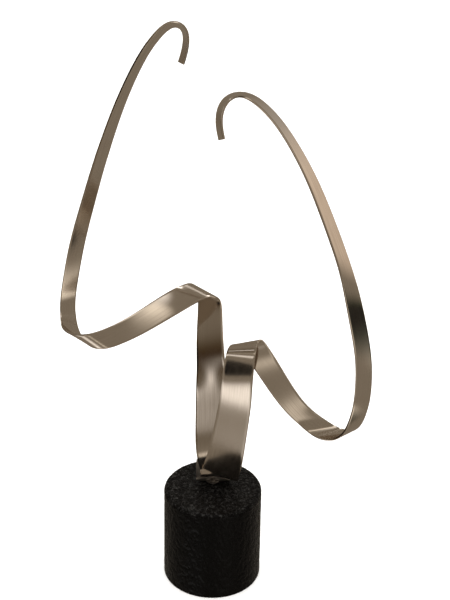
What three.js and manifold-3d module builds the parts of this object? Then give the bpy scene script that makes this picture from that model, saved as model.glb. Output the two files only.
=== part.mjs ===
// Abstract sculpture: one brushed steel strip, folded at its middle and bent into two rising arms,
// held by a small bracket and a screw on a black cylindrical plinth. Millimetres, +Z up.
// The origin is the middle of the plinth's underside, and the sculpture's front faces -Y.

import * as THREE from 'three';
import { mergeVertices } from 'three/addons/utils/BufferGeometryUtils.js';
import Module from 'manifold-3d';

// ---------------------------------------------------------------- driving dimensions

const PLINTH_RADIUS = 50;
const PLINTH_HEIGHT = 104.5;
const PLINTH_TOP_ROUNDING = 4;
const PLINTH_FOOT_CHAMFER = 1;

const STRIP_THICKNESS = 2.2;
// The strip tapers from its fold to each tip: [distance along the arm, full width].
const STRIP_WIDTHS = [[0, 39], [190, 28], [380, 16], [570, 17], [770, 10]];
const FRONT_ARM_LENGTH = 793;
const BACK_ARM_LENGTH = 773;

// The middle of the fold, and how the fold line is turned away from the X axis.
const FOLD_CENTRE = new THREE.Vector3(6.5, 4, 117.4);
const FOLD_TURN = new THREE.Vector3(2, -2, 4);

const TOUCH_GAP = 0.3;

const BRACKET_WIDTH = 34.6;
const UPRIGHT_THICKNESS = 2.5;
const UPRIGHT_HEIGHT = 24;
const UPRIGHT_FRONT_Y = 12.6;
const FOOT_BAR_DEPTH = 3;
const FOOT_BAR_END_HEIGHT = 2.2;
const FOOT_BAR_CROWN_HEIGHT = 7;
const LUG_HALF_WIDTH = 6.5;
const LUG_REACH = 6.6;
const LUG_THICKNESS = 2;

const SCREW_Y = 6.2;
const SCREW_HEAD_RADIUS = 2.9;
const SCREW_HEAD_HEIGHT = 2.2;
const SCREW_SHANK_RADIUS = 1.3;
const SCREW_SHANK_LENGTH = 14;
const SCREW_CLEARANCE = 0.4;

// The bend schedule, walked from the fold to each tip. Every entry is one place where the strip was
// worked: how far along the arm it is, over what spread, and by how many degrees each arm was turned
// about its width, twisted about its length, and drawn sideways in its own plane.
const BENDS = [
  { name: 'fold', at: 4, spread: 2.5, front: [91, 31, -6], back: [101, 20, 1] },
  { name: 'arm foot', at: 30, spread: 12, front: [-4, 3, -5], back: [-31, 6, -7] },
  { name: 'arm middle', at: 108, spread: 10, front: [-7, -1, -2], back: [-3, 11, 4] },
  { name: 'arm top', at: 143, spread: 11, front: [-14, -8, 5], back: [-23, 3, 9] },
  { name: 'crest rise', at: 197, spread: 8.5, front: [101, -28, -7], back: [123, -17, 3] },
  { name: 'crest fall', at: 197, spread: 7, front: [75, 88, -11], back: [16, 80, -5] },
  { name: 'slope start', at: 217, spread: 21.5, front: [29, 5, 3], back: [0, 47, -12] },
  { name: 'slope end', at: 306, spread: 28.5, front: [-31, 2, 33], back: [-19, 22, 22] },
  { name: 'lower bend entry', at: 322, spread: 12, front: [70, 72, 9], back: [65, 44, 5] },
  { name: 'lower bend', at: 353, spread: 13, front: [82, 44, -1], back: [53, 67, -29] },
  { name: 'lower bend exit', at: 383, spread: 12, front: [-24, 14, -25], back: [54, -18, -3] },
  { name: 'sweep foot', at: 437, spread: 23, front: [18, -21, -6], back: [14, -1, 3] },
  { name: 'sweep low', at: 474, spread: 24, front: [-6, 6, -4], back: [-6, -13, -8] },
  { name: 'sweep middle', at: 521, spread: 27, front: [25, -40, 13], back: [7, -7, 9] },
  { name: 'sweep high', at: 552, spread: 31, front: [-4, 7, -9], back: [1, -5, -5] },
  { name: 'sweep top', at: 639, spread: 25, front: [5, -9, -10], back: [2, 0, -8] },
  { name: 'hook rise', at: 704, spread: 20.5, front: [20, -10, -10], back: [9, 6, -27] },
  { name: 'hook crown', at: 734, spread: 9, front: [7, -29, -39], back: [107, -7, -69] },
  { name: 'hook tip', at: 757, spread: 18, front: [116, -30, -6], back: [31, 7, -2] },
];

// ---------------------------------------------------------------- materials

const metal = (color, roughness) => new THREE.MeshStandardMaterial({ color, roughness, metalness: 1 });
const brushedSteel = metal(0xb5a595, 0.32);
const bracketSteel = metal(0x8d867f, 0.4);
const screwSteel = metal(0xa8a29b, 0.35);
const wrinkleBlack = new THREE.MeshStandardMaterial({ color: 0x0c0b0a, roughness: 0.5, metalness: 0 });

// ---------------------------------------------------------------- the strip

const DEGREES = Math.PI / 180;
const WALK_STEP = 0.5;
const STATION_ANGLE = 7 * DEGREES;
const STATION_SPACING = 12;

// Where the strip is bent and twisted together its bend lines lean. The lean is worked out from
// the bends softened by a few millimetres, fades on gentle curves, and is nothing at the fold.
const LEAN_SOFTENING = 6;
const GENTLE_CURVE = 0.025;
const SQUARE_AT_FOLD = 12;

function stripWidth(distance) {
  const next = STRIP_WIDTHS.findIndex(([at]) => at > distance);
  if (next < 0) return STRIP_WIDTHS.at(-1)[1];
  const [startAt, startWidth] = STRIP_WIDTHS[next - 1];
  const [endAt, endWidth] = STRIP_WIDTHS[next];
  return THREE.MathUtils.mapLinear(distance, startAt, endAt, startWidth, endWidth);
}

// Each bend is spread along the strip as a bell curve whose area is the whole angle.
function bendRates(arm, distance, softening = 0) {
  const rates = [0, 0, 0];
  for (const bend of BENDS) {
    const spread = Math.hypot(bend.spread, softening);
    const offset = (distance - bend.at) / spread;
    const bell = Math.exp(-offset * offset / 2) / (spread * Math.sqrt(2 * Math.PI));
    bend[arm].forEach((angle, i) => { rates[i] += angle * DEGREES * bell; });
  }
  return rates;
}

// How far a bend line runs along the strip for each unit that it runs across.
function bendLineLean(arm, distance) {
  const [turn, twist] = bendRates(arm, distance, LEAN_SOFTENING);
  const lean = turn * twist / (turn ** 2 + GENTLE_CURVE ** 2);
  return lean * (1 - Math.exp(-((distance / SQUARE_AT_FOLD) ** 2)));
}

// Walks one arm from the fold. A station holds the strip's middle, the bend line there from the
// middle to one edge, and the face direction. Stations come closer where the strip bends harder.
function walkArm(arm, length, direction) {
  const fold = new THREE.Quaternion().setFromAxisAngle(
    FOLD_TURN.clone().normalize(), FOLD_TURN.length() * DEGREES);
  const along = new THREE.Vector3(0, -direction, 0).applyQuaternion(fold);
  const across = new THREE.Vector3(direction, 0, 0).applyQuaternion(fold);
  const face = new THREE.Vector3(0, 0, 1).applyQuaternion(fold);
  const middle = FOLD_CENTRE.clone();
  const stations = [];
  let sinceStation = 0;
  let angleSinceStation = 0;

  const record = (distance) => {
    const bendLine = across.clone().addScaledVector(along, bendLineLean(arm, distance));
    const width = bendLine.multiplyScalar(direction * stripWidth(distance) / 2);
    stations.push({ middle: middle.clone(), width, face: face.clone() });
    sinceStation = 0;
    angleSinceStation = 0;
  };

  record(0);
  const steps = Math.round(length / WALK_STEP);
  for (let i = 0; i < steps; i += 1) {
    const [turn, twist, edge] = bendRates(arm, (i + 0.5) * WALK_STEP);
    const spin = new THREE.Vector3()
      .addScaledVector(along, -twist)
      .addScaledVector(across, -turn)
      .addScaledVector(face, edge);
    const angle = spin.length() * WALK_STEP;
    spin.normalize();
    for (const vector of [along, across, face]) vector.applyAxisAngle(spin, angle / 2);
    middle.addScaledVector(along, WALK_STEP);
    for (const vector of [along, across, face]) vector.applyAxisAngle(spin, angle / 2);
    sinceStation += WALK_STEP;
    angleSinceStation += angle;
    const worked = angleSinceStation > STATION_ANGLE || sinceStation >= STATION_SPACING;
    if (worked || i === steps - 1) record((i + 1) * WALK_STEP);
  }
  return stations;
}

function makeStrip() {
  const front = walkArm('front', FRONT_ARM_LENGTH, 1);
  const back = walkArm('back', BACK_ARM_LENGTH, -1);
  const stations = [...back.slice(1).reverse(), ...front];
  const positions = [];
  for (const { middle, width, face } of stations) {
    for (const [side, skin] of [[-1, -1], [1, -1], [1, 1], [-1, 1]]) {
      const corner = middle.clone()
        .addScaledVector(width, side)
        .addScaledVector(face, skin * STRIP_THICKNESS / 2);
      positions.push(...corner.toArray());
    }
  }
  const triangles = [0, 3, 2, 0, 2, 1];
  for (let i = 0; i + 1 < stations.length; i += 1) {
    for (let corner = 0; corner < 4; corner += 1) {
      const near = 4 * i + corner;
      const nearNext = 4 * i + (corner + 1) % 4;
      triangles.push(near, nearNext, nearNext + 4, near, nearNext + 4, near + 4);
    }
  }
  const end = 4 * (stations.length - 1);
  triangles.push(end, end + 1, end + 2, end, end + 2, end + 3);
  const geometry = new THREE.BufferGeometry();
  geometry.setAttribute('position', new THREE.Float32BufferAttribute(positions, 3));
  geometry.setIndex(triangles);
  geometry.computeVertexNormals();
  return geometry;
}

// ---------------------------------------------------------------- cutting and joining

const manifold = await Module();
manifold.setup();

function toSolid(geometry) {
  const bare = geometry.clone();
  bare.deleteAttribute('normal');
  bare.deleteAttribute('uv');
  const merged = mergeVertices(bare);
  return new manifold.Manifold(new manifold.Mesh({
    numProp: 3,
    vertProperties: new Float32Array(merged.attributes.position.array),
    triVerts: new Uint32Array(merged.index.array),
  }));
}

function toGeometry(solid) {
  const mesh = solid.getMesh();
  const geometry = new THREE.BufferGeometry();
  geometry.setAttribute('position', new THREE.BufferAttribute(mesh.vertProperties, 3));
  geometry.setIndex(new THREE.BufferAttribute(mesh.triVerts, 1));
  geometry.computeVertexNormals();
  return geometry;
}

// A round or hexagonal bar standing on the given height at the screw's place.
function standingBar(radius, height, bottom, sides) {
  const bar = new THREE.CylinderGeometry(radius, radius, height, sides);
  return bar.rotateX(Math.PI / 2).translate(0, SCREW_Y, bottom + height / 2);
}

// ---------------------------------------------------------------- bracket, screw and plinth

const BRACKET_BOTTOM = PLINTH_HEIGHT + TOUCH_GAP;
const SCREW_HOLE_RADIUS = SCREW_SHANK_RADIUS + SCREW_CLEARANCE;
const HOLE_DEPTH = SCREW_SHANK_LENGTH + 2;
const HOLE_SIDES = 16;

function makeBracket() {
  const upright = new THREE.BoxGeometry(BRACKET_WIDTH, UPRIGHT_THICKNESS, UPRIGHT_HEIGHT);
  upright.translate(0, UPRIGHT_FRONT_Y + UPRIGHT_THICKNESS / 2, BRACKET_BOTTOM + UPRIGHT_HEIGHT / 2);

  // The foot bar's front is a low roof: level along the bottom, rising to a crown in the middle.
  const roof = new THREE.Shape();
  roof.moveTo(-BRACKET_WIDTH / 2, 0);
  roof.lineTo(BRACKET_WIDTH / 2, 0);
  roof.lineTo(BRACKET_WIDTH / 2, FOOT_BAR_END_HEIGHT);
  roof.lineTo(0, FOOT_BAR_CROWN_HEIGHT);
  roof.lineTo(-BRACKET_WIDTH / 2, FOOT_BAR_END_HEIGHT);
  roof.closePath();
  const footBar = new THREE.ExtrudeGeometry(roof, { depth: FOOT_BAR_DEPTH + 1, bevelEnabled: false });
  footBar.rotateX(Math.PI / 2).translate(0, UPRIGHT_FRONT_Y + 1, BRACKET_BOTTOM);

  // The lug is a pointed tongue in front of the bar, lying on the plinth.
  const barFrontY = UPRIGHT_FRONT_Y - FOOT_BAR_DEPTH;
  const tongue = new THREE.Shape();
  tongue.moveTo(-LUG_HALF_WIDTH, barFrontY + 1);
  tongue.lineTo(-LUG_HALF_WIDTH, barFrontY - LUG_REACH / 3);
  tongue.lineTo(0, barFrontY - LUG_REACH);
  tongue.lineTo(LUG_HALF_WIDTH, barFrontY - LUG_REACH / 3);
  tongue.lineTo(LUG_HALF_WIDTH, barFrontY + 1);
  tongue.closePath();
  const lug = new THREE.ExtrudeGeometry(tongue, { depth: LUG_THICKNESS, bevelEnabled: false });
  lug.translate(0, 0, BRACKET_BOTTOM);

  const hole = standingBar(SCREW_HOLE_RADIUS, 10, BRACKET_BOTTOM - 5, HOLE_SIDES);
  return toGeometry(toSolid(upright).add(toSolid(footBar)).add(toSolid(lug)).subtract(toSolid(hole)));
}

function makeScrew() {
  const seat = BRACKET_BOTTOM + LUG_THICKNESS + TOUCH_GAP;
  const head = standingBar(SCREW_HEAD_RADIUS, SCREW_HEAD_HEIGHT, seat, 6);
  const shank = standingBar(SCREW_SHANK_RADIUS, SCREW_SHANK_LENGTH + 1, seat - SCREW_SHANK_LENGTH, HOLE_SIDES);
  return toGeometry(toSolid(head).add(toSolid(shank)));
}

function makePlinth() {
  const profile = new THREE.Path();
  profile.moveTo(0, 0);
  profile.lineTo(PLINTH_RADIUS - PLINTH_FOOT_CHAMFER, 0);
  profile.lineTo(PLINTH_RADIUS, PLINTH_FOOT_CHAMFER);
  profile.lineTo(PLINTH_RADIUS, PLINTH_HEIGHT - PLINTH_TOP_ROUNDING);
  profile.absarc(PLINTH_RADIUS - PLINTH_TOP_ROUNDING, PLINTH_HEIGHT - PLINTH_TOP_ROUNDING,
    PLINTH_TOP_ROUNDING, 0, Math.PI / 2);
  profile.lineTo(0, PLINTH_HEIGHT);
  const body = new THREE.LatheGeometry(profile.getPoints(3), 72).rotateX(Math.PI / 2);
  const hole = standingBar(SCREW_HOLE_RADIUS, HOLE_DEPTH + 5, PLINTH_HEIGHT - HOLE_DEPTH, HOLE_SIDES);
  return toGeometry(toSolid(body).subtract(toSolid(hole)));
}

// ---------------------------------------------------------------- the sculpture

function piece(name, geometry, material) {
  const mesh = new THREE.Mesh(geometry, material);
  mesh.name = name;
  return mesh;
}

const sculpture = new THREE.Group();
sculpture.name = 'sculpture';
sculpture.add(
  piece('ribbon', makeStrip(), brushedSteel),
  piece('mounting_bracket', makeBracket(), bracketSteel),
  piece('fixing_screw', makeScrew(), screwSteel),
  piece('plinth', makePlinth(), wrinkleBlack),
);

export default sculpture;
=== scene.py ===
"""Abstract sculpture: a brushed steel strip folded and bent into two looping arms, on a black plinth.

Metres, +Z up, the front faces -Y. The strip is laid out flat, bent by the same schedule as the
part's source, and given its thickness and softened edges. The plinth, bracket and screw follow.
"""

import math

import bpy
from mathutils import Matrix, Quaternion, Vector, noise


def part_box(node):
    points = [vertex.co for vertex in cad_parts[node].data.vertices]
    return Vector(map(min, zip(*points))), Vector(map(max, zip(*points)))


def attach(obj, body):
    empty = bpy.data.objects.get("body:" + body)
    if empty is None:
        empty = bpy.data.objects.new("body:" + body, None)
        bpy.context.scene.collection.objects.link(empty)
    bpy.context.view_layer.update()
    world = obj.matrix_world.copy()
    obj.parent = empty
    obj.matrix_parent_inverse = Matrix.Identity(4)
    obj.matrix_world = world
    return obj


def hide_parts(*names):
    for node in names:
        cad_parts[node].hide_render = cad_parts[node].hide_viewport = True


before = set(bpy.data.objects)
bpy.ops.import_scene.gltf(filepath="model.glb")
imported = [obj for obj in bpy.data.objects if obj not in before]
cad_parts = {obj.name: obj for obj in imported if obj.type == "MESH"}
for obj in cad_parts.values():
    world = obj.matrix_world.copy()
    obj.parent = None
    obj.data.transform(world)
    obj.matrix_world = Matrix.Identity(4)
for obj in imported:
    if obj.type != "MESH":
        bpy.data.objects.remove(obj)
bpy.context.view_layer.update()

MM = 0.001


# ---------------------------------------------------------------- sizes, in millimetres

STRIP_THICKNESS = 2.2
STRIP_WIDTHS = [(0, 39), (190, 28), (380, 16), (570, 17), (770, 10)]
ARM_LENGTHS = {"front": 793, "back": 773}
FOLD_CENTRE = (6.5, 4, 117.4)
FOLD_TURN = (2, -2, 4)
STRIP_EDGE_ROUNDING = 0.35
STRIP_STEP = 1.5
STRIP_ROWS = 12

# Where the strip is bent and twisted together its bend lines lean. The lean is worked out from
# the bends softened by a few millimetres, fades on gentle curves, and is nothing at the fold.
LEAN_SOFTENING = 6
GENTLE_CURVE = 0.025
SQUARE_AT_FOLD = 12

PLINTH_TOP_ROUNDING = 4
PLINTH_FOOT_CHAMFER = 1
WRINKLE_SIZE = 3.6
WRINKLE_DEPTH = 0.5
WRINKLE_CELL = 0.9
WRINKLE_SEED = 5

# The paint, and the painted highlight: paler ridges painted above the height from which the top's
# wrinkles catch the overhead light as glints.
GLINTS_PAINTED_FROM = 100
PAINT_BLACK = (0.0015, 0.0013, 0.0012)
PAINTED_GLINT_RIDGE = (0.03, 0.029, 0.027)

UPRIGHT_THICKNESS = 2.5
FOOT_BAR_DEPTH = 3
FOOT_BAR_END_HEIGHT = 2.2
FOOT_BAR_CROWN_HEIGHT = 7
LUG_HALF_WIDTH = 6.5
LUG_REACH = 6.6
LUG_THICKNESS = 2
SCREW_HEAD_HEIGHT = 2.2
SCREW_HEAD_RADIUS = 2.9
SCREW_SHANK_RADIUS = 1.3
SCREW_HOLE_RADIUS = 1.7

# The camera: its place in metres, its angles in degrees, its lens in millimetres.
CAMERA_PLACE = (0, -1.562, 1.2535)
CAMERA_HEADING = -0.34
CAMERA_LOOKS_DOWN = 30.66
CAMERA_ROLL = 0.95
CAMERA_LENS = 113

# Each bend: where along the arm, over what spread, and the degrees turned about the strip's
# width, twisted about its length, and drawn sideways in its own plane, for each arm.
BENDS = [
    {"name": "fold", "at": 4, "spread": 2.5, "front": (91, 31, -6), "back": (101, 20, 1)},
    {"name": "arm foot", "at": 30, "spread": 12, "front": (-4, 3, -5), "back": (-31, 6, -7)},
    {"name": "arm middle", "at": 108, "spread": 10, "front": (-7, -1, -2), "back": (-3, 11, 4)},
    {"name": "arm top", "at": 143, "spread": 11, "front": (-14, -8, 5), "back": (-23, 3, 9)},
    {"name": "crest rise", "at": 197, "spread": 8.5, "front": (101, -28, -7), "back": (123, -17, 3)},
    {"name": "crest fall", "at": 197, "spread": 7, "front": (75, 88, -11), "back": (16, 80, -5)},
    {"name": "slope start", "at": 217, "spread": 21.5, "front": (29, 5, 3), "back": (0, 47, -12)},
    {"name": "slope end", "at": 306, "spread": 28.5, "front": (-31, 2, 33), "back": (-19, 22, 22)},
    {"name": "lower bend entry", "at": 322, "spread": 12, "front": (70, 72, 9), "back": (65, 44, 5)},
    {"name": "lower bend", "at": 353, "spread": 13, "front": (82, 44, -1), "back": (53, 67, -29)},
    {"name": "lower bend exit", "at": 383, "spread": 12, "front": (-24, 14, -25), "back": (54, -18, -3)},
    {"name": "sweep foot", "at": 437, "spread": 23, "front": (18, -21, -6), "back": (14, -1, 3)},
    {"name": "sweep low", "at": 474, "spread": 24, "front": (-6, 6, -4), "back": (-6, -13, -8)},
    {"name": "sweep middle", "at": 521, "spread": 27, "front": (25, -40, 13), "back": (7, -7, 9)},
    {"name": "sweep high", "at": 552, "spread": 31, "front": (-4, 7, -9), "back": (1, -5, -5)},
    {"name": "sweep top", "at": 639, "spread": 25, "front": (5, -9, -10), "back": (2, 0, -8)},
    {"name": "hook rise", "at": 704, "spread": 20.5, "front": (20, -10, -10), "back": (9, 6, -27)},
    {"name": "hook crown", "at": 734, "spread": 9, "front": (7, -29, -39), "back": (107, -7, -69)},
    {"name": "hook tip", "at": 757, "spread": 18, "front": (116, -30, -6), "back": (31, 7, -2)},
]


# ---------------------------------------------------------------- node helpers

def new_material(name, base, metallic, roughness):
    material = bpy.data.materials.new(name)
    material.use_nodes = True
    nodes = material.node_tree.nodes
    shader = nodes["Principled BSDF"]
    shader.inputs["Base Color"].default_value = (*base, 1)
    shader.inputs["Metallic"].default_value = metallic
    shader.inputs["Roughness"].default_value = roughness
    return material, shader


def link(tree, source, target):
    tree.links.new(source, target)


def add_node(tree, kind, **settings):
    node = tree.nodes.new(kind)
    for name, value in settings.items():
        setattr(node, name, value)
    return node


# ---------------------------------------------------------------- shared effects

def make_streaks_group():
    """Fine brushing lines: long along the first coordinate, hair-thin along the second."""
    group = bpy.data.node_groups.new("Brushing lines", "ShaderNodeTree")
    sockets = group.interface
    sockets.new_socket("Vector", in_out="INPUT", socket_type="NodeSocketVector")
    for name in ("Line length", "Line width"):
        sockets.new_socket(name, in_out="INPUT", socket_type="NodeSocketFloat")
    for name in ("Light colour", "Dark colour"):
        sockets.new_socket(name, in_out="INPUT", socket_type="NodeSocketColor")
    for name in ("Low roughness", "High roughness"):
        sockets.new_socket(name, in_out="INPUT", socket_type="NodeSocketFloat")
    sockets.new_socket("Color", in_out="OUTPUT", socket_type="NodeSocketColor")
    sockets.new_socket("Roughness", in_out="OUTPUT", socket_type="NodeSocketFloat")
    sockets.new_socket("Height", in_out="OUTPUT", socket_type="NodeSocketFloat")
    given = add_node(group, "NodeGroupInput")
    result = add_node(group, "NodeGroupOutput")

    along = add_node(group, "ShaderNodeMath", operation="DIVIDE")
    along.inputs[0].default_value = 1
    link(group, given.outputs["Line length"], along.inputs[1])
    across = add_node(group, "ShaderNodeMath", operation="DIVIDE")
    across.inputs[0].default_value = 1
    link(group, given.outputs["Line width"], across.inputs[1])
    scale = add_node(group, "ShaderNodeCombineXYZ")
    link(group, along.outputs[0], scale.inputs["X"])
    link(group, across.outputs[0], scale.inputs["Y"])
    stretched = add_node(group, "ShaderNodeVectorMath", operation="MULTIPLY")
    link(group, given.outputs["Vector"], stretched.inputs[0])
    link(group, scale.outputs[0], stretched.inputs[1])

    lines = add_node(group, "ShaderNodeTexNoise")
    lines.inputs["Scale"].default_value = 1
    lines.inputs["Detail"].default_value = 3
    link(group, stretched.outputs[0], lines.inputs["Vector"])

    clouds = add_node(group, "ShaderNodeTexNoise")
    clouds.inputs["Scale"].default_value = 30
    clouds.inputs["Detail"].default_value = 2
    link(group, given.outputs["Vector"], clouds.inputs["Vector"])
    blend = add_node(group, "ShaderNodeMix", data_type="FLOAT")
    blend.inputs["Factor"].default_value = 0.35
    link(group, lines.outputs["Fac"], blend.inputs[2])
    link(group, clouds.outputs["Fac"], blend.inputs[3])

    colour = add_node(group, "ShaderNodeMix", data_type="RGBA")
    link(group, blend.outputs[0], colour.inputs["Factor"])
    link(group, given.outputs["Light colour"], colour.inputs[6])
    link(group, given.outputs["Dark colour"], colour.inputs[7])
    rough = add_node(group, "ShaderNodeMapRange")
    rough.inputs["From Min"].default_value = 0.3
    rough.inputs["From Max"].default_value = 0.7
    link(group, blend.outputs[0], rough.inputs["Value"])
    link(group, given.outputs["Low roughness"], rough.inputs["To Min"])
    link(group, given.outputs["High roughness"], rough.inputs["To Max"])
    link(group, colour.outputs[2], result.inputs["Color"])
    link(group, rough.outputs[0], result.inputs["Roughness"])
    link(group, lines.outputs["Fac"], result.inputs["Height"])
    return group


def place_streaks(material, group, vector, sizes, colours, roughness, bump_height):
    tree = material.node_tree
    shader = tree.nodes["Principled BSDF"]
    streaks = add_node(tree, "ShaderNodeGroup", node_tree=group)
    link(tree, vector, streaks.inputs["Vector"])
    streaks.inputs["Line length"].default_value = sizes[0]
    streaks.inputs["Line width"].default_value = sizes[1]
    streaks.inputs["Light colour"].default_value = (*colours[0], 1)
    streaks.inputs["Dark colour"].default_value = (*colours[1], 1)
    streaks.inputs["Low roughness"].default_value = roughness[0]
    streaks.inputs["High roughness"].default_value = roughness[1]
    bump = add_node(tree, "ShaderNodeBump")
    bump.inputs["Strength"].default_value = 0.5
    bump.inputs["Distance"].default_value = bump_height
    link(tree, streaks.outputs["Height"], bump.inputs["Height"])
    link(tree, streaks.outputs["Color"], shader.inputs["Base Color"])
    link(tree, streaks.outputs["Roughness"], shader.inputs["Roughness"])
    link(tree, bump.outputs["Normal"], shader.inputs["Normal"])


# ---------------------------------------------------------------- materials

def make_brushed_steel(streaks):
    material, shader = new_material("Brushed steel", (0.62, 0.55, 0.47), 1.0, 0.2)
    tree = material.node_tree
    laid_out = add_node(tree, "ShaderNodeUVMap", uv_map="Laid out")
    place_streaks(material, streaks, laid_out.outputs["UV"], (0.06, 0.0008),
                  ((0.75, 0.665, 0.575), (0.51, 0.44, 0.37)), (0.1, 0.2), 0.00001)
    return material


def make_plain_steel(name, light, dark, streaks):
    material, shader = new_material(name, light, 1.0, 0.4)
    tree = material.node_tree
    place = add_node(tree, "ShaderNodeTexCoord")
    place_streaks(material, streaks, place.outputs["Object"], (0.004, 0.0006),
                  (light, dark), (0.28, 0.5), 0.00003)
    return material


def make_wrinkle_paint():
    """Black paint: the folds themselves are modelled, and finer crinkles are added as a bump.

    Short worm-like ridges on the top are painted a little paler: a painted highlight standing in for
    glints of the overhead light on the wrinkles.
    """
    material, shader = new_material("Black wrinkle paint", PAINT_BLACK, 0.0, 0.25)
    shader.inputs["Specular IOR Level"].default_value = 0.08
    tree = material.node_tree
    place = add_node(tree, "ShaderNodeTexCoord")
    squeeze = add_node(tree, "ShaderNodeMapping")
    squeeze.inputs["Scale"].default_value = (1, 1, 0.55)
    link(tree, place.outputs["Object"], squeeze.inputs["Vector"])
    crinkles = add_node(tree, "ShaderNodeTexNoise", noise_type="RIDGED_MULTIFRACTAL", normalize=True)
    crinkles.inputs["Scale"].default_value = 700
    crinkles.inputs["Detail"].default_value = 1
    crinkles.inputs["Distortion"].default_value = 0.6
    link(tree, squeeze.outputs["Vector"], crinkles.inputs["Vector"])
    bump = add_node(tree, "ShaderNodeBump")
    bump.inputs["Strength"].default_value = 0.7
    bump.inputs["Distance"].default_value = 0.0003
    link(tree, crinkles.outputs["Fac"], bump.inputs["Height"])
    link(tree, bump.outputs["Normal"], shader.inputs["Normal"])
    rough = add_node(tree, "ShaderNodeMapRange")
    rough.inputs["To Min"].default_value = 0.28
    rough.inputs["To Max"].default_value = 0.16
    link(tree, crinkles.outputs["Fac"], rough.inputs["Value"])
    link(tree, rough.outputs[0], shader.inputs["Roughness"])

    # Painted highlight: paler worm-like lines on the top stand in for glints of the overhead light on
    # the wrinkle ridges.
    worms = add_node(tree, "ShaderNodeTexNoise")
    worms.inputs["Scale"].default_value = 380
    worms.inputs["Detail"].default_value = 1
    link(tree, place.outputs["Object"], worms.inputs["Vector"])
    from_line = add_node(tree, "ShaderNodeMath", operation="COMPARE")
    from_line.inputs[1].default_value = 0.5
    from_line.inputs[2].default_value = 0.035
    link(tree, worms.outputs["Fac"], from_line.inputs[0])
    breaks = add_node(tree, "ShaderNodeTexNoise")
    breaks.inputs["Scale"].default_value = 260
    breaks.inputs["Detail"].default_value = 2
    link(tree, place.outputs["Object"], breaks.inputs["Vector"])
    broken = add_node(tree, "ShaderNodeMapRange")
    broken.inputs["From Min"].default_value = 0.42
    broken.inputs["From Max"].default_value = 0.6
    link(tree, breaks.outputs["Fac"], broken.inputs["Value"])
    parts = add_node(tree, "ShaderNodeSeparateXYZ")
    link(tree, place.outputs["Object"], parts.inputs["Vector"])
    on_top = add_node(tree, "ShaderNodeMapRange")
    on_top.inputs["From Min"].default_value = GLINTS_PAINTED_FROM * MM
    on_top.inputs["From Max"].default_value = (GLINTS_PAINTED_FROM + PLINTH_TOP_ROUNDING) * MM
    link(tree, parts.outputs["Z"], on_top.inputs["Value"])
    ridges = add_node(tree, "ShaderNodeMath", operation="MULTIPLY")
    link(tree, from_line.outputs[0], ridges.inputs[0])
    link(tree, broken.outputs[0], ridges.inputs[1])
    painted_glints = add_node(tree, "ShaderNodeMath", operation="MULTIPLY")
    link(tree, ridges.outputs[0], painted_glints.inputs[0])
    link(tree, on_top.outputs[0], painted_glints.inputs[1])
    # The painted glints are mixed into the paint's base colour.
    colour = add_node(tree, "ShaderNodeMix", data_type="RGBA")
    colour.inputs[6].default_value = (*PAINT_BLACK, 1)
    colour.inputs[7].default_value = (*PAINTED_GLINT_RIDGE, 1)
    link(tree, painted_glints.outputs[0], colour.inputs["Factor"])
    link(tree, colour.outputs[2], shader.inputs["Base Color"])
    return material


# ---------------------------------------------------------------- the strip

def strip_width(distance):
    for (start, start_width), (end, end_width) in zip(STRIP_WIDTHS, STRIP_WIDTHS[1:]):
        if distance < end:
            return start_width + (end_width - start_width) * (distance - start) / (end - start)
    return STRIP_WIDTHS[-1][1]


def bend_rates(arm, distance, softening=0):
    rates = Vector((0, 0, 0))
    for bend in BENDS:
        spread = math.hypot(bend["spread"], softening)
        offset = (distance - bend["at"]) / spread
        bell = math.exp(-offset * offset / 2) / (spread * math.sqrt(2 * math.pi))
        rates += Vector(bend[arm]) * (math.radians(1) * bell)
    return rates


def bend_line_lean(arm, distance):
    """How far a bend line runs along the strip for each unit that it runs across."""
    turned, twisted, _ = bend_rates(arm, distance, LEAN_SOFTENING)
    lean = turned * twisted / (turned ** 2 + GENTLE_CURVE ** 2)
    return lean * (1 - math.exp(-(distance / SQUARE_AT_FOLD) ** 2))


def walk_arm(arm, direction, steps_per_row=3):
    """Rows of (distance, middle, half width, face) from the fold to the arm's tip, in mm."""
    turn = Vector(FOLD_TURN)
    fold = Quaternion(turn.normalized(), math.radians(turn.length))
    along = fold @ Vector((0, -direction, 0))
    across = fold @ Vector((direction, 0, 0))
    face = fold @ Vector((0, 0, 1))
    middle = Vector(FOLD_CENTRE)
    step = STRIP_STEP / steps_per_row
    rows = []
    for i in range(round(ARM_LENGTHS[arm] / step) + 1):
        if i % steps_per_row == 0:
            bend_line = across + along * bend_line_lean(arm, i * step)
            half_width = bend_line * (direction * strip_width(i * step) / 2)
            rows.append((direction * i * step, middle.copy(), half_width, face.copy()))
        turned, twisted, drawn = bend_rates(arm, (i + 0.5) * step)
        spin = along * -twisted + across * -turned + face * drawn
        half_spin = Quaternion(spin.normalized(), spin.length * step / 2)
        middle += (half_spin @ along) * step
        full_spin = half_spin @ half_spin
        along, across, face = full_spin @ along, full_spin @ across, full_spin @ face
    return rows


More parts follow.
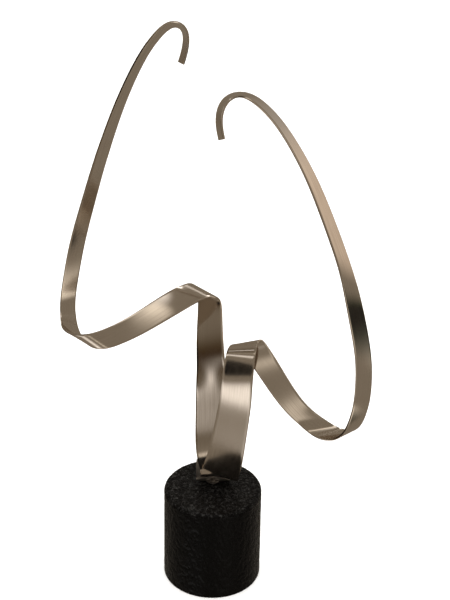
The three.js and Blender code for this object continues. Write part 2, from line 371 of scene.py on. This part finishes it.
def make_strip(material):
    """The strip starts as a flat grid, one row of corners for each step along it."""
    rows = walk_arm("back", -1)[:0:-1] + walk_arm("front", 1)
    bpy.ops.object.select_all(action="DESELECT")
    bpy.ops.mesh.primitive_grid_add(x_subdivisions=STRIP_ROWS, y_subdivisions=len(rows) - 1,
                                    size=2, calc_uvs=True)
    strip = bpy.context.object
    mesh = strip.data
    mesh.uv_layers[0].name = "Laid out"
    places = {}
    for vertex in mesh.vertices:
        row = round((vertex.co.y + 1) / 2 * (len(rows) - 1))
        side = vertex.co.x
        distance, middle, half_width, face = rows[row]
        vertex.co = (middle + half_width * side) * MM
        places[vertex.index] = (distance * MM, half_width.length * side * MM)
    for loop in mesh.loops:
        mesh.uv_layers[0].data[loop.index].uv = places[loop.vertex_index]
    mesh.update()

    wall = strip.modifiers.new("Thickness", "SOLIDIFY")
    wall.thickness = STRIP_THICKNESS * MM
    wall.offset = 0
    edges = strip.modifiers.new("Softened edges", "BEVEL")
    edges.width = STRIP_EDGE_ROUNDING * MM
    edges.segments = 2
    edges.angle_limit = math.radians(60)
    for name in ("Thickness", "Softened edges"):
        bpy.ops.object.modifier_apply(modifier=name)
    bpy.ops.object.mode_set(mode="EDIT")
    bpy.ops.mesh.select_all(action="SELECT")
    bpy.ops.mesh.normals_make_consistent(inside=False)
    bpy.ops.object.mode_set(mode="OBJECT")
    finish_piece(strip, "steel_ribbon", "ribbon", material, 50)


# ---------------------------------------------------------------- modelling helpers

def select_parts(piece, parts, belongs):
    """Goes into edit mode with only those vertices or edges selected that lie where wanted."""
    mesh = piece.data
    bpy.ops.object.mode_set(mode="EDIT")
    bpy.ops.mesh.select_mode(type={"vertices": "VERT", "edges": "EDGE"}[parts])
    bpy.ops.mesh.select_all(action="DESELECT")
    bpy.ops.object.mode_set(mode="OBJECT")
    for part in getattr(mesh, parts):
        corners = [part.index] if parts == "vertices" else part.vertices
        part.select = belongs(*(mesh.vertices[i].co for i in corners))
    bpy.ops.object.mode_set(mode="EDIT")


def leave_edit():
    bpy.ops.object.mode_set(mode="OBJECT")


def apply_modifier(piece, kind, **settings):
    modifier = piece.modifiers.new(kind.title(), kind)
    for name, value in settings.items():
        setattr(modifier, name, value)
    bpy.context.view_layer.objects.active = piece
    bpy.ops.object.modifier_apply(modifier=modifier.name)


def combine(piece, tool, operation):
    apply_modifier(piece, "BOOLEAN", object=tool, operation=operation, solver="EXACT")
    bpy.data.objects.remove(tool)


def add_box(low, high):
    bpy.ops.object.select_all(action="DESELECT")
    bpy.ops.mesh.primitive_cube_add(size=1, location=[(a + b) / 2 for a, b in zip(low, high)])
    box = bpy.context.object
    box.scale = [b - a for a, b in zip(low, high)]
    bpy.ops.object.transform_apply(location=True, rotation=True, scale=True)
    return box


def add_bar(radius, bottom, top, middle, sides):
    bpy.ops.object.select_all(action="DESELECT")
    bpy.ops.mesh.primitive_cylinder_add(vertices=sides, radius=radius, depth=top - bottom,
                                        location=(*middle, (top + bottom) / 2))
    bar = bpy.context.object
    bpy.ops.object.transform_apply(location=True, rotation=True, scale=True)
    return bar


def finish_piece(piece, name, node, material, smooth_angle):
    bpy.ops.object.select_all(action="DESELECT")
    piece.select_set(True)
    bpy.context.view_layer.objects.active = piece
    bpy.ops.object.shade_smooth_by_angle(angle=math.radians(smooth_angle))
    piece.name = name
    piece.data.materials.clear()
    piece.data.materials.append(material)
    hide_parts(node)
    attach(piece, "root")


# ---------------------------------------------------------------- the plinth

def wrinkle_relief(place, on_side):
    """How far the paint's skin lies below its crests: rounded folds between narrow furrows."""
    drawn_out = Vector((1, 1, 0.45 if on_side else 1))
    point = Vector(place) * drawn_out / (WRINKLE_SIZE * MM)
    wander = noise.noise_vector(point * 0.5) * 0.8
    fold = min(1, abs(noise.noise(point + wander)) * 3.2)
    return WRINKLE_DEPTH * MM * (1 - fold) ** 1.5


def make_plinth(material):
    low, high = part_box("plinth")
    radius = (high[0] - low[0]) / 2
    height = high[2] - low[2]
    cell = WRINKLE_CELL * MM
    plinth = add_bar(radius, 0, height, (0, 0), round(2 * math.pi * radius / cell))
    select_parts(plinth, "edges", lambda a, b: min(a.z, b.z) > height / 2)
    bpy.ops.mesh.bevel(offset=PLINTH_TOP_ROUNDING * MM, segments=6)
    leave_edit()
    select_parts(plinth, "edges", lambda a, b: max(a.z, b.z) < height / 2)
    bpy.ops.mesh.bevel(offset=PLINTH_FOOT_CHAMFER * MM, segments=2)
    leave_edit()

    # Cells of wrinkle size: rings down the side, and rings in from the rim of the top.
    select_parts(plinth, "edges", lambda a, b: abs(a.z - b.z) > height / 2)
    bpy.ops.mesh.subdivide(number_cuts=round(height / cell))
    leave_edit()
    hub = 2 * MM
    flat_radius = radius - PLINTH_TOP_ROUNDING * MM
    select_parts(plinth, "vertices", lambda a: a.z > height - 0.01 * MM)
    bpy.ops.mesh.select_mode(type="FACE")
    bpy.ops.mesh.inset(thickness=flat_radius - hub)
    leave_edit()
    select_parts(plinth, "edges", lambda a, b: min(a.z, b.z) > height - 0.01 * MM
                 and abs(a.xy.length - b.xy.length) > flat_radius / 2)
    bpy.ops.mesh.subdivide(number_cuts=round((flat_radius - hub) / cell))
    leave_edit()
    # Without a seed of its own the noise, and so the wrinkles, would fall differently every time.
    noise.seed_set(WRINKLE_SEED)
    skin = [(vertex, vertex.normal.copy()) for vertex in plinth.data.vertices
            if vertex.co.z > PLINTH_FOOT_CHAMFER * MM * 1.01 and vertex.co.xy.length > hub * 1.01]
    for vertex, outwards in skin:
        on_side = vertex.co.z < height - PLINTH_TOP_ROUNDING * MM
        vertex.co -= outwards * wrinkle_relief(vertex.co, on_side)
    finish_piece(plinth, "painted_plinth", "plinth", material, 60)


# ---------------------------------------------------------------- bracket and screw

def make_bracket(material):
    """A plate behind the fold, a foot bar with a roof-shaped front, and a pointed lug for the screw."""
    low, high = (Vector(corner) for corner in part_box("mounting_bracket"))
    half_width = high.x
    upright_front = high.y - UPRIGHT_THICKNESS * MM
    bar_front = upright_front - FOOT_BAR_DEPTH * MM
    lug_shoulder = bar_front - LUG_REACH / 3 * MM
    overlap = 1 * MM

    bracket = add_box((-half_width, upright_front, low.z), high)
    end_top = low.z + FOOT_BAR_END_HEIGHT * MM
    bar = add_box((-half_width, bar_front, low.z), (half_width, upright_front + overlap, end_top))
    select_parts(bar, "edges", lambda a, b: abs(a.x - b.x) > half_width)
    bpy.ops.mesh.subdivide(number_cuts=1)
    leave_edit()
    select_parts(bar, "vertices", lambda a: abs(a.x) < overlap and a.z > low.z + overlap)
    bpy.ops.transform.translate(value=(0, 0, (FOOT_BAR_CROWN_HEIGHT - FOOT_BAR_END_HEIGHT) * MM))
    leave_edit()
    combine(bracket, bar, "UNION")

    lug_side = LUG_HALF_WIDTH * MM
    lug = add_box((-lug_side, lug_shoulder, low.z),
                  (lug_side, bar_front + overlap, low.z + LUG_THICKNESS * MM))
    select_parts(lug, "edges", lambda a, b: abs(a.x - b.x) > lug_side)
    bpy.ops.mesh.subdivide(number_cuts=1)
    leave_edit()
    select_parts(lug, "vertices", lambda a: abs(a.x) < overlap and a.y < bar_front - overlap)
    bpy.ops.transform.translate(value=(0, low.y - lug_shoulder, 0))
    leave_edit()
    combine(bracket, lug, "UNION")

    screw_low, screw_high = (Vector(corner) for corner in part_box("fixing_screw"))
    screw_y = (screw_low.y + screw_high.y) / 2
    hole = add_bar(SCREW_HOLE_RADIUS * MM, low.z - overlap, low.z + 4 * MM, (0, screw_y), 32)
    combine(bracket, hole, "DIFFERENCE")
    apply_modifier(bracket, "BEVEL", width=0.25 * MM, segments=2, angle_limit=math.radians(35))
    finish_piece(bracket, "steel_bracket", "mounting_bracket", material, 35)


def make_screw(material):
    """A hexagon head with chamfered top corners on a plain round shank."""
    low, high = (Vector(corner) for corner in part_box("fixing_screw"))
    middle = (0, (low.y + high.y) / 2)
    seat = high.z - SCREW_HEAD_HEIGHT * MM
    screw = add_bar(SCREW_HEAD_RADIUS * MM, seat, high.z, middle, 6)
    select_parts(screw, "edges", lambda a, b: min(a.z, b.z) > (seat + high.z) / 2)
    bpy.ops.mesh.bevel(offset=0.4 * MM, segments=2)
    leave_edit()
    shank = add_bar(SCREW_SHANK_RADIUS * MM, low.z, seat + 1 * MM, middle, 32)
    select_parts(shank, "edges", lambda a, b: max(a.z, b.z) < (low.z + seat) / 2)
    bpy.ops.mesh.bevel(offset=0.5 * MM, segments=1)
    leave_edit()
    combine(screw, shank, "UNION")
    finish_piece(screw, "hexagon_screw", "fixing_screw", material, 30)


# ---------------------------------------------------------------- stage, light and camera

def make_floor():
    bpy.ops.object.select_all(action="DESELECT")
    bpy.ops.mesh.primitive_plane_add(size=14, location=(0, 2, 0))
    floor = bpy.context.object
    floor.name = "floor"
    material, shader = new_material("Pale floor", (0.93, 0.93, 0.93), 0.0, 0.9)
    shader.inputs["Specular IOR Level"].default_value = 0.0
    floor.data.materials.append(material)
    floor.visible_glossy = False


WARM = (1, 0.84, 0.7)
SOFT = (1, 0.95, 0.85)
WHITE = (1, 1, 1)

# The room as the steel mirrors it: soft patches of light, and of shade where the strength is
# negative. Azimuth is measured from the viewer's side towards their right and elevation upwards
# from level, in degrees. Width and height are how far a patch reaches on a sphere of radius one.
GLOWS = [
    {"place": "pale table in front, to the left", "azimuth": -55, "elevation": -54,
     "width": 0.5, "height": 0.2, "strength": 1.3, "tint": WHITE},
    {"place": "pale table in front, near the middle", "azimuth": -20, "elevation": -28,
     "width": 0.3, "height": 0.12, "strength": 0.7, "tint": SOFT},
    {"place": "pale table in front, to the right", "azimuth": 30, "elevation": -22,
     "width": 0.5, "height": 0.35, "strength": 1.1, "tint": SOFT},
    {"place": "dark floor beyond the table, right", "azimuth": 60, "elevation": -20,
     "width": 0.5, "height": 0.35, "strength": -0.35, "tint": WARM},
    {"place": "dark corner, left", "azimuth": -75, "elevation": 0,
     "width": 1.1, "height": 0.7, "strength": -0.3, "tint": SOFT},
    {"place": "window, front left", "azimuth": -42, "elevation": 5,
     "width": 0.3, "height": 0.1, "strength": 1.1, "tint": WHITE},
    {"place": "tan wall, right", "azimuth": 108, "elevation": 3,
     "width": 0.5, "height": 0.2, "strength": 0.6, "tint": WARM},
    {"place": "pale wall, back right", "azimuth": 135, "elevation": 5,
     "width": 0.5, "height": 0.35, "strength": 0.35, "tint": WHITE},
    {"place": "lamp, high in front", "azimuth": -14, "elevation": 48,
     "width": 0.35, "height": 0.15, "strength": 1.1, "tint": SOFT},
    {"place": "lamp overhead, front", "azimuth": 0, "elevation": 62,
     "width": 0.3, "height": 0.3, "strength": 1.5, "tint": WHITE},
    {"place": "lamp overhead, back", "azimuth": 180, "elevation": 68,
     "width": 0.25, "height": 0.25, "strength": 5, "tint": WHITE},
]
ROOM_COLOUR = (0.27, 0.235, 0.19)
DARKEST = (0.02, 0.018, 0.016)


def pointing(azimuth, elevation):
    azimuth, elevation = math.radians(azimuth), math.radians(elevation)
    return (math.sin(azimuth) * math.cos(elevation), -math.cos(azimuth) * math.cos(elevation),
            math.sin(elevation))


def make_room_light():
    """A warm room with a few broad soft patches of light and shade round the sculpture."""
    world = bpy.data.worlds.new("Room")
    bpy.context.scene.world = world
    world.use_nodes = True
    tree = world.node_tree
    background = tree.nodes["Background"]
    direction = add_node(tree, "ShaderNodeTexCoord").outputs["Generated"]
    total = add_node(tree, "ShaderNodeRGB")
    total.outputs[0].default_value = (*ROOM_COLOUR, 1)
    total = total.outputs[0]
    for glow in GLOWS:
        around = add_node(tree, "ShaderNodeMapping", vector_type="TEXTURE")
        around.inputs["Location"].default_value = pointing(glow["azimuth"], glow["elevation"])
        around.inputs["Rotation"].default_value = (math.radians(glow["elevation"]), 0,
                                                   math.radians(glow["azimuth"] + 180))
        around.inputs["Scale"].default_value = (glow["width"], 1, glow["height"])
        link(tree, direction, around.inputs["Vector"])
        away = add_node(tree, "ShaderNodeVectorMath", operation="LENGTH")
        link(tree, around.outputs["Vector"], away.inputs[0])
        patch = add_node(tree, "ShaderNodeMapRange", interpolation_type="SMOOTHSTEP")
        patch.inputs["From Min"].default_value = 1
        patch.inputs["From Max"].default_value = 0
        link(tree, away.outputs["Value"], patch.inputs["Value"])
        tint = add_node(tree, "ShaderNodeVectorMath", operation="SCALE")
        tint.inputs[0].default_value = Vector(glow["tint"]) * glow["strength"]
        link(tree, patch.outputs[0], tint.inputs["Scale"])
        mixed = add_node(tree, "ShaderNodeVectorMath", operation="ADD")
        link(tree, total, mixed.inputs[0])
        link(tree, tint.outputs[0], mixed.inputs[1])
        total = mixed.outputs[0]
    lowest = add_node(tree, "ShaderNodeVectorMath", operation="MAXIMUM")
    lowest.inputs[1].default_value = DARKEST
    link(tree, total, lowest.inputs[0])
    link(tree, lowest.outputs[0], background.inputs["Color"])


def make_floor_light():
    """A broad soft light overhead that brightens the floor."""
    data = bpy.data.lights.new("overhead", "AREA")
    data.shape = "DISK"
    data.size = 4
    data.energy = 200
    lamp = bpy.data.objects.new("overhead", data)
    bpy.context.collection.objects.link(lamp)
    lamp.location = (0, 0, 3)
    lamp.visible_glossy = False


def make_camera():
    data = bpy.data.cameras.new("camera")
    data.lens = CAMERA_LENS
    camera = bpy.data.objects.new("camera", data)
    bpy.context.collection.objects.link(camera)
    turned = (Matrix.Rotation(math.radians(CAMERA_HEADING), 4, "Z")
              @ Matrix.Rotation(math.radians(90 - CAMERA_LOOKS_DOWN), 4, "X")
              @ Matrix.Rotation(math.radians(CAMERA_ROLL), 4, "Z"))
    camera.matrix_world = Matrix.Translation(CAMERA_PLACE) @ turned
    bpy.context.scene.camera = camera


# ---------------------------------------------------------------- putting it together

brushing_lines = make_streaks_group()
make_strip(make_brushed_steel(brushing_lines))
make_plinth(make_wrinkle_paint())
make_bracket(make_plain_steel("Bracket steel", (0.44, 0.42, 0.4), (0.3, 0.28, 0.26), brushing_lines))
make_screw(make_plain_steel("Screw steel", (0.56, 0.53, 0.5), (0.4, 0.37, 0.34), brushing_lines))

make_floor()
make_room_light()
make_floor_light()
make_camera()
bpy.context.scene.view_settings.view_transform = "Standard"
